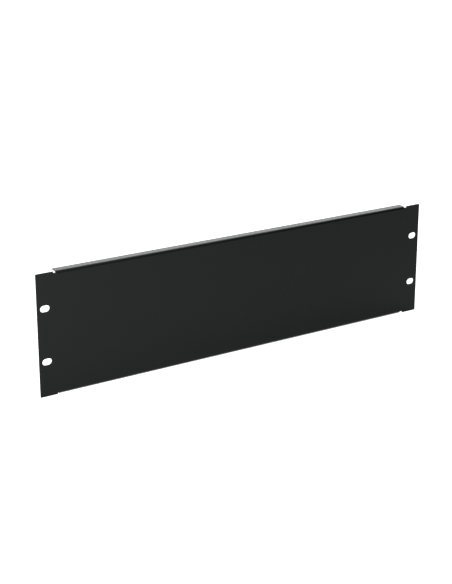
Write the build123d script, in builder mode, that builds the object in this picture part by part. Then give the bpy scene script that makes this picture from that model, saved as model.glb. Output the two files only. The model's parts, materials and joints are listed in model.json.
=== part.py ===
"""Rack blanking panel, three units high: one punched and folded steel sheet.

The panel is seen from the front along +Y. +X runs to the right along its length and +Z up.
The origin is the centre of the four screw slots, on the rear faces of the ears, which is
the plane that seats on the rack's rails. All lengths are in millimetres.
"""

import os

from build123d import *
from build123d.topology import topo_explore_connected_faces

# Rack standard
panel_length = 482.6
unit_height = 44.45
unit_count = 3
height_clearance = 0.85

# Screw slots, which lie along the panel with their centres this far in from its ends
slot_inset = 8.75
slot_spacing_z = 57.15
slot_length = 10.3
slot_width = 7.1

# Sheet
sheet_thickness = 1.2
inner_bend_radius = 2.0
edge_round = 0.2
ear_corner_radius = 0.6

# Ears, and the relief notches between them and the folds
ear_length = 19.0
notch_width = 2.8
notch_depth = 1.6

# Slits that run on from the notches, along the ends of the folds, to just past the bend lines
slit_width = 0.3
slit_past_bend = 0.05

# Folds, set in a little from the top and bottom edges of the ears
fold_setback = 0.1
flange_depth = 10.0

# Sizes that follow
panel_height = unit_count * unit_height - height_clearance
slot_spacing_x = panel_length - 2 * slot_inset
folded_length = panel_length - 2 * (ear_length + notch_width)
outer_bend_radius = inner_bend_radius + sheet_thickness
face_height = panel_height - 2 * (fold_setback + outer_bend_radius)
fold_strip = (panel_height - face_height) / 2
slit_depth = fold_strip + edge_round + slit_past_bend
front_y = -sheet_thickness
flange_rear_y = front_y + flange_depth
bend_centre_y = front_y + outer_bend_radius


def is_rim(edge: Edge) -> bool:
    """True for an edge between a skin of the sheet and its cut edge."""
    middle = edge @ 0.5
    first_normal, second_normal = [
        Face(face).normal_at(middle) for face in topo_explore_connected_faces(edge)
    ]
    square_on = abs(first_normal.dot(second_normal)) < 0.5
    crosses_sheet = abs(edge.length - sheet_thickness) < 0.01
    return square_on and not crosses_sheet


with BuildPart() as blanking_panel:
    # Flat sheet: the face between the bend lines, and an ear past each end of the folds
    with BuildSketch(Plane.XZ) as flat_outline:
        Rectangle(panel_length, panel_height)
        fillet(flat_outline.vertices(), radius=ear_corner_radius)
        with GridLocations(0, panel_height - fold_strip, 1, 2):
            Rectangle(folded_length, fold_strip, mode=Mode.SUBTRACT)
        with GridLocations(folded_length + notch_width, panel_height - notch_depth, 2, 2):
            Rectangle(notch_width, notch_depth, mode=Mode.SUBTRACT)
        with GridLocations(folded_length + slit_width, panel_height - slit_depth, 2, 2):
            Rectangle(slit_width, slit_depth, mode=Mode.SUBTRACT)
    extrude(amount=sheet_thickness)

    # Top fold: a quarter bend and the flange behind it, along the middle of the sheet
    with BuildSketch(Plane.YZ.offset(-folded_length / 2)) as fold_section:
        with BuildLine() as fold_line:
            bend = CenterArc(
                center=(bend_centre_y, face_height / 2),
                radius=outer_bend_radius - sheet_thickness / 2,
                start_angle=180,
                arc_size=-90,
            )
            Line(bend @ 1, (flange_rear_y, (bend @ 1).Y))
        trace(line_width=sheet_thickness)
    top_fold = extrude(amount=folded_length)

    # Bottom fold, the same turned over
    mirror(top_fold, about=Plane.XY)

    # Rims of the outline, rounded by the punch and the coating
    fillet(blanking_panel.edges().filter_by(is_rim), radius=edge_round)

    # Screw slots, punched from the front, which rounds their front rims alone
    with BuildSketch(Plane.XZ) as screw_slots:
        with GridLocations(slot_spacing_x, slot_spacing_z, 2, 2):
            SlotOverall(slot_length, slot_width)
    extrude(amount=sheet_thickness, mode=Mode.SUBTRACT)
    fillet(blanking_panel.edges(Select.LAST).group_by(Axis.Y)[0], radius=edge_round)

blanking_panel.part.label = "blanking_panel"

os.makedirs("parts", exist_ok=True)
export_step(blanking_panel.part, "parts/blanking_panel.step")
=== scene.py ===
"""Dresses and lights the rack blanking panel: satin black powder coat on a pale studio floor.

The panel is one folded steel sheet, taken as it stands from the frame. This script gives it its
finish, sets it on a plain floor under soft light, and looks at it from the left and a little above.
All lengths are in metres, in the frame of the model.
"""

import json
import logging
import math
from dataclasses import dataclass, field
from enum import Enum

import bmesh
import bpy
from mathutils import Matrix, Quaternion, Vector

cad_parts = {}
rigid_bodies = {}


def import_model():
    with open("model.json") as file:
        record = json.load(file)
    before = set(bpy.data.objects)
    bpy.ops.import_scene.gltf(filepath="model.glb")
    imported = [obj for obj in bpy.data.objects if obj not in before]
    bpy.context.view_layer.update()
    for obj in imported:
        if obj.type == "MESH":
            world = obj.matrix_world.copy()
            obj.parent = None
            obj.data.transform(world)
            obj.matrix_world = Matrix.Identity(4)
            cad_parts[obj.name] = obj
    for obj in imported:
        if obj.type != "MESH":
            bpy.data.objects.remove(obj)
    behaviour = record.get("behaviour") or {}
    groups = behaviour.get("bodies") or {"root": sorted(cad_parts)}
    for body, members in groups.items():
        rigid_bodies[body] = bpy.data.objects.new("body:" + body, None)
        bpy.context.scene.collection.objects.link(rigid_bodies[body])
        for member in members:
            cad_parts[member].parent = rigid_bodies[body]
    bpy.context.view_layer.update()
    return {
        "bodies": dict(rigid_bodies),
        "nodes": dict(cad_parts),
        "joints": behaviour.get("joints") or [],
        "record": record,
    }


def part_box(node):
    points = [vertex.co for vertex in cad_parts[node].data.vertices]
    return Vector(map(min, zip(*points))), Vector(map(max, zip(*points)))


log = logging.getLogger("blanking_panel")

MM = 0.001

# The mix node's colour sockets, which share their names with its other sockets
MIX_COLOUR_A = 6
MIX_COLOUR_B = 7
MIX_COLOUR_RESULT = 2


class Tone(Enum):
    """Plain colours of the scene, as linear red, green, blue and alpha."""

    COAT_DEEP = (0.0024, 0.0029, 0.0028, 1.0)
    COAT_LIFTED = (0.0042, 0.0047, 0.0045, 1.0)
    FLOOR = (0.33, 0.33, 0.33, 1.0)
    WHITE = (1.0, 1.0, 1.0, 1.0)
    LAMP = (0.975, 1.0, 0.985, 1.0)
    DARK_SIDE = (0.02, 0.02, 0.02, 1.0)


def new_material(name: str) -> tuple[bpy.types.Material, bpy.types.NodeTree]:
    """Makes an empty node material.

    Args:
        name: The material's name.

    Returns:
        The material and its node tree, which holds no nodes yet.
    """
    material = bpy.data.materials.new(name)
    material.use_nodes = True
    material.node_tree.nodes.clear()
    return material, material.node_tree


def mix_colours(
    tree: bpy.types.NodeTree, share: bpy.types.NodeSocket, first: Tone, second: Tone
) -> bpy.types.NodeSocket:
    """Adds a mix of two plain colours.

    Args:
        tree: The node tree that it joins.
        share: How much of the second colour there is, from 0 to 1.
        first: The colour at a share of 0.
        second: The colour at a share of 1.

    Returns:
        The mixed colour.
    """
    mix = tree.nodes.new("ShaderNodeMix")
    mix.data_type = "RGBA"
    tree.links.new(share, mix.inputs["Factor"])
    mix.inputs[MIX_COLOUR_A].default_value = first.value
    mix.inputs[MIX_COLOUR_B].default_value = second.value
    return mix.outputs[MIX_COLOUR_RESULT]


def seen_rays(tree: bpy.types.NodeTree) -> bpy.types.NodeSocket:
    """Tells the rays of sight, gloss and glass from those that only carry light.

    Args:
        tree: The node tree that it joins.

    Returns:
        A value of 1 for a camera, glossy or transmission ray, and 0 for any other.
    """
    path = tree.nodes.new("ShaderNodeLightPath")
    total = path.outputs["Is Camera Ray"]
    for name in ("Is Glossy Ray", "Is Transmission Ray"):
        add = tree.nodes.new("ShaderNodeMath")
        add.operation = "ADD"
        add.use_clamp = True
        tree.links.new(total, add.inputs[0])
        tree.links.new(path.outputs[name], add.inputs[1])
        total = add.outputs[0]
    return total


@dataclass(frozen=True)
class SatinPowderCoat:
    """Black polyester powder coat with a satin sheen and a fine orange peel.

    Broad clouds and fine flecks drift over it. Their sum runs the roughness through its swing,
    from mottle_low to mottle_high.
    """

    name: str = "satin_black_powder_coat"
    sheen_roughness: float = 0.24
    roughness_swing: float = 0.04
    refraction: float = 1.18
    cloud_size: float = 45 * MM
    cloud_detail: float = 3.0
    fleck_size: float = 0.5 * MM
    fleck_detail: float = 1.0
    fleck_share: float = 0.6
    mottle_low: float = 0.6
    mottle_high: float = 1.4
    peel_size: float = 1.6 * MM
    peel_height: float = 0.012 * MM
    grain_size: float = 0.35 * MM
    grain_height: float = 0.004 * MM
    relief_detail: float = 2.0

    def build(self) -> bpy.types.Material:
        """Builds the coat's node material.

        Returns:
            The finished material.
        """
        material, tree = new_material(self.name)
        place = tree.nodes.new("ShaderNodeTexCoord").outputs["Object"]
        shader = tree.nodes.new("ShaderNodeBsdfPrincipled")
        output = tree.nodes.new("ShaderNodeOutputMaterial")
        tree.links.new(shader.outputs["BSDF"], output.inputs["Surface"])
        clouds = self._noise(tree, place, self.cloud_size, self.cloud_detail)
        flecks = self._noise(tree, place, self.fleck_size, self.fleck_detail)
        tree.links.new(self._colour(tree, clouds, flecks), shader.inputs["Base Color"])
        tree.links.new(self._roughness(tree, clouds, flecks), shader.inputs["Roughness"])
        tree.links.new(self._relief(tree, place), shader.inputs["Normal"])
        shader.inputs["IOR"].default_value = self.refraction
        return material

    def _noise(
        self,
        tree: bpy.types.NodeTree,
        place: bpy.types.NodeSocket,
        size: float,
        detail: float,
    ) -> bpy.types.NodeSocket:
        """Adds a noise whose patches are about one size across.

        Args:
            tree: The node tree that it joins.
            place: The coordinates that it reads.
            size: The width of a patch.
            detail: How many finer octaves it has.

        Returns:
            The noise's value, near 0.5 on average.
        """
        noise = tree.nodes.new("ShaderNodeTexNoise")
        noise.inputs["Scale"].default_value = 1 / size
        noise.inputs["Detail"].default_value = detail
        tree.links.new(place, noise.inputs["Vector"])
        return noise.outputs["Fac"]

    def _colour(
        self,
        tree: bpy.types.NodeTree,
        clouds: bpy.types.NodeSocket,
        flecks: bpy.types.NodeSocket,
    ) -> bpy.types.NodeSocket:
        """Mixes the coat's two blacks by broad clouds and fine flecks.

        Args:
            tree: The node tree that it joins.
            clouds: The broad noise.
            flecks: The fine noise.

        Returns:
            The coat's colour.
        """
        blend = tree.nodes.new("ShaderNodeMath")
        blend.operation = "MULTIPLY_ADD"
        blend.use_clamp = True
        blend.inputs[1].default_value = self.fleck_share
        tree.links.new(flecks, blend.inputs[0])
        lift = tree.nodes.new("ShaderNodeMath")
        lift.operation = "MULTIPLY"
        lift.inputs[1].default_value = 1 - self.fleck_share
        tree.links.new(clouds, lift.inputs[0])
        tree.links.new(lift.outputs[0], blend.inputs[2])
        return mix_colours(tree, blend.outputs[0], Tone.COAT_DEEP, Tone.COAT_LIFTED)

    def _roughness(
        self,
        tree: bpy.types.NodeTree,
        clouds: bpy.types.NodeSocket,
        flecks: bpy.types.NodeSocket,
    ) -> bpy.types.NodeSocket:
        """Lets the coat's roughness drift a little over the sheet.

        Args:
            tree: The node tree that it joins.
            clouds: The broad noise.
            flecks: The fine noise.

        Returns:
            The roughness.
        """
        both = tree.nodes.new("ShaderNodeMath")
        both.operation = "ADD"
        tree.links.new(clouds, both.inputs[0])
        tree.links.new(flecks, both.inputs[1])
        span = tree.nodes.new("ShaderNodeMapRange")
        span.inputs["From Min"].default_value = self.mottle_low
        span.inputs["From Max"].default_value = self.mottle_high
        span.inputs["To Min"].default_value = self.sheen_roughness - self.roughness_swing
        span.inputs["To Max"].default_value = self.sheen_roughness + self.roughness_swing
        tree.links.new(both.outputs[0], span.inputs["Value"])
        return span.outputs["Result"]

    def _relief(
        self, tree: bpy.types.NodeTree, place: bpy.types.NodeSocket
    ) -> bpy.types.NodeSocket:
        """Adds the orange peel, with a finer grain on it.

        Args:
            tree: The node tree that it joins.
            place: The coordinates that it reads.

        Returns:
            The bumped normal.
        """
        normal = None
        for size, height in (
            (self.peel_size, self.peel_height),
            (self.grain_size, self.grain_height),
        ):
            bump = tree.nodes.new("ShaderNodeBump")
            bump.inputs["Strength"].default_value = 1.0
            bump.inputs["Distance"].default_value = height
            relief = self._noise(tree, place, size, self.relief_detail)
            tree.links.new(relief, bump.inputs["Height"])
            if normal is not None:
                tree.links.new(normal, bump.inputs["Normal"])
            normal = bump.outputs["Normal"]
        return normal


@dataclass
class BlankingPanel:
    """The folded sheet, which comes whole from the frame and only gets its finish here."""

    node: str = "blanking_panel"
    ear_reach: float = 21.8 * MM
    bend_radius: float = 3.2 * MM
    coat: SatinPowderCoat = field(default_factory=SatinPowderCoat)

    def dress(self, frame: dict) -> bpy.types.Object:
        """Puts the powder coat on every face of the sheet.

        Args:
            frame: The loaded frame.

        Returns:
            The panel's object.
        """
        panel = frame["nodes"][self.node]
        panel.material_slots[0].material = self.coat.build()
        return panel

    def foot(self) -> tuple[Vector, Vector]:
        """Gives the flat underside of the lower fold, which the panel stands on.

        Returns:
            Its front left and its rear right corner.
        """
        low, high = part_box(self.node)
        front_left = Vector((low.x + self.ear_reach, low.y + self.bend_radius, low.z))
        rear_right = Vector((high.x - self.ear_reach, high.y, low.z))
        return front_left, rear_right


@dataclass(frozen=True)
class PaleFloor:
    """A wide matt floor, which shows white to the eye and in gloss, and keeps the shadow.

    Its glow is out under the panel's foot and full again a short reach away from it; this gap is a
    painted contact shadow.
    """

    name: str = "studio_floor"
    half_width: float = 12.0
    gap: float = 0.05 * MM
    glow: float = 0.90
    # How far out from the foot the painted contact shadow fades back to full glow
    painted_shadow_reach: float = 3.2 * MM

    def build(self, foot: tuple[Vector, Vector]) -> bpy.types.Object:
        """Lays the floor just under the panel.

        Args:
            foot: The front left and the rear right corner of the panel's foot.

        Returns:
            The floor's object.
        """
        shape = bmesh.new()
        bmesh.ops.create_grid(shape, x_segments=1, y_segments=1, size=self.half_width)
        bmesh.ops.translate(shape, verts=shape.verts, vec=(0, 0, foot[0].z - self.gap))
        mesh = bpy.data.meshes.new(self.name)
        shape.to_mesh(mesh)
        shape.free()
        floor = bpy.data.objects.new(self.name, mesh)
        floor.data.materials.append(self._material(foot))
        bpy.context.scene.collection.objects.link(floor)
        return floor

    def _material(self, foot: tuple[Vector, Vector]) -> bpy.types.Material:
        """Builds the floor's material.

        Args:
            foot: The front left and the rear right corner of the panel's foot.

        Returns:
            A matt surface, with a glow for the rays of sight, gloss and glass, held back under the
            foot as a painted contact shadow.
        """
        material, tree = new_material("pale_floor")
        output = tree.nodes.new("ShaderNodeOutputMaterial")
        matt = tree.nodes.new("ShaderNodeBsdfDiffuse")
        matt.inputs["Color"].default_value = Tone.FLOOR.value
        glow = tree.nodes.new("ShaderNodeEmission")
        glow.inputs["Color"].default_value = Tone.WHITE.value
        strength = tree.nodes.new("ShaderNodeMath")
        strength.operation = "MULTIPLY"
        tree.links.new(seen_rays(tree), strength.inputs[0])
        # The glow's strength, with a painted contact shadow under the foot
        tree.links.new(self._glow_with_painted_shadow(tree, foot), strength.inputs[1])
        tree.links.new(strength.outputs[0], glow.inputs["Strength"])
        both = tree.nodes.new("ShaderNodeAddShader")
        tree.links.new(matt.outputs[0], both.inputs[0])
        tree.links.new(glow.outputs[0], both.inputs[1])
        tree.links.new(both.outputs[0], output.inputs["Surface"])
        return material

    def _glow_with_painted_shadow(
        self, tree: bpy.types.NodeTree, foot: tuple[Vector, Vector]
    ) -> bpy.types.NodeSocket:
        """Paints a contact shadow by keeping the glow away from under the foot.

        Args:
            tree: The node tree that it joins.
            foot: The front left and the rear right corner of the panel's foot.

        Returns:
            The strength of the glow, with the painted contact shadow in it.
        """
        centre = (foot[0] + foot[1]) / 2
        half = (foot[1] - foot[0]) / 2
        place = tree.nodes.new("ShaderNodeTexCoord").outputs["Object"]
        for operation, offset in (("SUBTRACT", centre), ("ABSOLUTE", None), ("SUBTRACT", half)):
            step = tree.nodes.new("ShaderNodeVectorMath")
            step.operation = operation
            tree.links.new(place, step.inputs[0])
            if offset is not None:
                step.inputs[1].default_value = offset
            place = step.outputs[0]
        split = tree.nodes.new("ShaderNodeSeparateXYZ")
        tree.links.new(place, split.inputs[0])
        outside = tree.nodes.new("ShaderNodeMath")
        outside.operation = "MAXIMUM"
        tree.links.new(split.outputs["X"], outside.inputs[0])
        tree.links.new(split.outputs["Y"], outside.inputs[1])
        fade = tree.nodes.new("ShaderNodeMapRange")
        fade.interpolation_type = "SMOOTHSTEP"
        fade.inputs["From Max"].default_value = self.painted_shadow_reach
        fade.inputs["To Max"].default_value = self.glow
        tree.links.new(outside.outputs[0], fade.inputs["Value"])
        return fade.outputs["Result"]


@dataclass(frozen=True)
class StudioAir:
    """The surroundings: white behind and beside the panel, dark in front of it.

    The way that a ray leaves is given as a share of its length, from 0 sideways to 1 forwards.
    The eye itself sees white on all sides.
    """

    white_up_to: float = 0.20
    dark_from: float = 0.60
    light: float = 0.75

    def build(self) -> None:
        """Sets the world's light and colour."""
        world = bpy.data.worlds.new("studio_air")
        world.use_nodes = True
        bpy.context.scene.world = world
        tree = world.node_tree
        tree.nodes.clear()
        output = tree.nodes.new("ShaderNodeOutputWorld")
        background = tree.nodes.new("ShaderNodeBackground")
        way = tree.nodes.new("ShaderNodeTexCoord").outputs["Generated"]
        split = tree.nodes.new("ShaderNodeSeparateXYZ")
        tree.links.new(way, split.inputs[0])
        ramp = tree.nodes.new("ShaderNodeMapRange")
        ramp.interpolation_type = "SMOOTHSTEP"
        ramp.inputs["From Min"].default_value = -self.white_up_to
        ramp.inputs["From Max"].default_value = -self.dark_from
        tree.links.new(split.outputs["Y"], ramp.inputs["Value"])
        unseen = tree.nodes.new("ShaderNodeMath")
        unseen.operation = "SUBTRACT"
        unseen.inputs[0].default_value = 1.0
        path = tree.nodes.new("ShaderNodeLightPath")
        tree.links.new(path.outputs["Is Camera Ray"], unseen.inputs[1])
        tree.links.new(unseen.outputs[0], ramp.inputs["To Max"])
        colour = mix_colours(tree, ramp.outputs["Result"], Tone.WHITE, Tone.DARK_SIDE)
        tree.links.new(colour, background.inputs["Color"])
        level = tree.nodes.new("ShaderNodeMapRange")
        level.inputs["To Min"].default_value = self.light
        level.inputs["To Max"].default_value = 1.0
        tree.links.new(seen_rays(tree), level.inputs["Value"])
        tree.links.new(level.outputs["Result"], background.inputs["Strength"])
        tree.links.new(background.outputs[0], output.inputs["Surface"])


@dataclass(frozen=True)
class SoftBox:
    """A rectangular soft lamp, aimed at a point near the panel."""

    name: str
    stand: tuple[float, float, float]
    aim: tuple[float, float, float]
    width: float
    height: float
    watts: float
    roll: float = 0.0

    def build(self) -> bpy.types.Object:
        """Hangs the lamp.

        Returns:
            The lamp's object.
        """
        data = bpy.data.lights.new(self.name, "AREA")
        data.shape = "RECTANGLE"
        data.size = self.width
        data.size_y = self.height
        data.energy = self.watts
        data.color = Tone.LAMP.value[:3]
        lamp = bpy.data.objects.new(self.name, data)
        lamp.location = self.stand
        facing = (Vector(self.aim) - Vector(self.stand)).to_track_quat("-Z", "Y")
        roll = Quaternion((0, 0, 1), math.radians(self.roll))
        lamp.rotation_euler = (facing @ roll).to_euler()
        lamp.visible_camera = False
        bpy.context.scene.collection.objects.link(lamp)
        return lamp


@dataclass(frozen=True)
class Viewpoint:
    """The camera: from the left and above, with the panel running away to the right."""

    aim: tuple[float, float, float] = (-22.91 * MM, -1.2 * MM, 108.02 * MM)
    distance: float = 1318.0 * MM
    left_turn: float = 30.789
    height_angle: float = 16.345
    lens: float = 76.656
    shift_up: float = -0.154
    sensor: float = 36.0
    nearest: float = 0.01
    farthest: float = 60.0

    def build(self) -> bpy.types.Object:
        """Sets up the camera and makes it the scene's own.

        Returns:
            The camera's object.
        """
        data = bpy.data.cameras.new("viewpoint")
        data.lens = self.lens
        data.sensor_width = self.sensor
        data.sensor_fit = "AUTO"
        data.shift_y = self.shift_up
        data.clip_start = self.nearest
        data.clip_end = self.farthest
        turn = math.radians(self.left_turn)
        rise = math.radians(self.height_angle)
        forward = Vector(
            (
                math.sin(turn) * math.cos(rise),
                math.cos(turn) * math.cos(rise),
                -math.sin(rise),
            )
        )
        camera = bpy.data.objects.new("viewpoint", data)
        camera.location = Vector(self.aim) - forward * self.distance
        camera.rotation_euler = (math.pi / 2 - rise, 0.0, -turn)
        bpy.context.scene.collection.objects.link(camera)
        bpy.context.scene.camera = camera
        return camera


@dataclass
class Studio:
    """The floor, the air and the lamps round the panel."""

    floor: PaleFloor = field(default_factory=PaleFloor)
    air: StudioAir = field(default_factory=StudioAir)
    lamps: tuple[SoftBox, ...] = (
        SoftBox(
            name="key_lamp",
            stand=(-0.60, -0.50, 0.48),
            aim=(-0.40, -0.10, -0.06),
            width=0.45,
            height=0.45,
            watts=23.5,
        ),
        SoftBox(
            name="rear_lamp",
            stand=(0.86, 0.86, 1.34),
            aim=(0.0, 0.0, 0.05),
            width=1.7,
            height=1.9,
            watts=68.0,
            roll=12.0,
        ),
    )

    def build(self, foot: tuple[Vector, Vector]) -> None:
        """Builds the whole stage.

        Args:
            foot: The front left and the rear right corner of the panel's foot.
        """
        self.air.build()
        floor = self.floor.build(foot)
        log.info("floor %s", floor.name)
        for soft_box in self.lamps:
            lamp = soft_box.build()
            log.info("lamp %s", lamp.name)


def main() -> None:
    """Dresses the panel, builds the stage round it and sets the camera."""
    logging.basicConfig(level=logging.INFO, format="%(name)s: %(message)s")
    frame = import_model()
    bpy.context.scene.view_settings.view_transform = "Standard"
    camera = Viewpoint().build()
    log.info("camera %s", camera.name)
    panel = BlankingPanel()
    dressed = panel.dress(frame)
    log.info("piece %s", dressed.name)
    Studio().build(panel.foot())


if __name__ == "__main__":
    main()
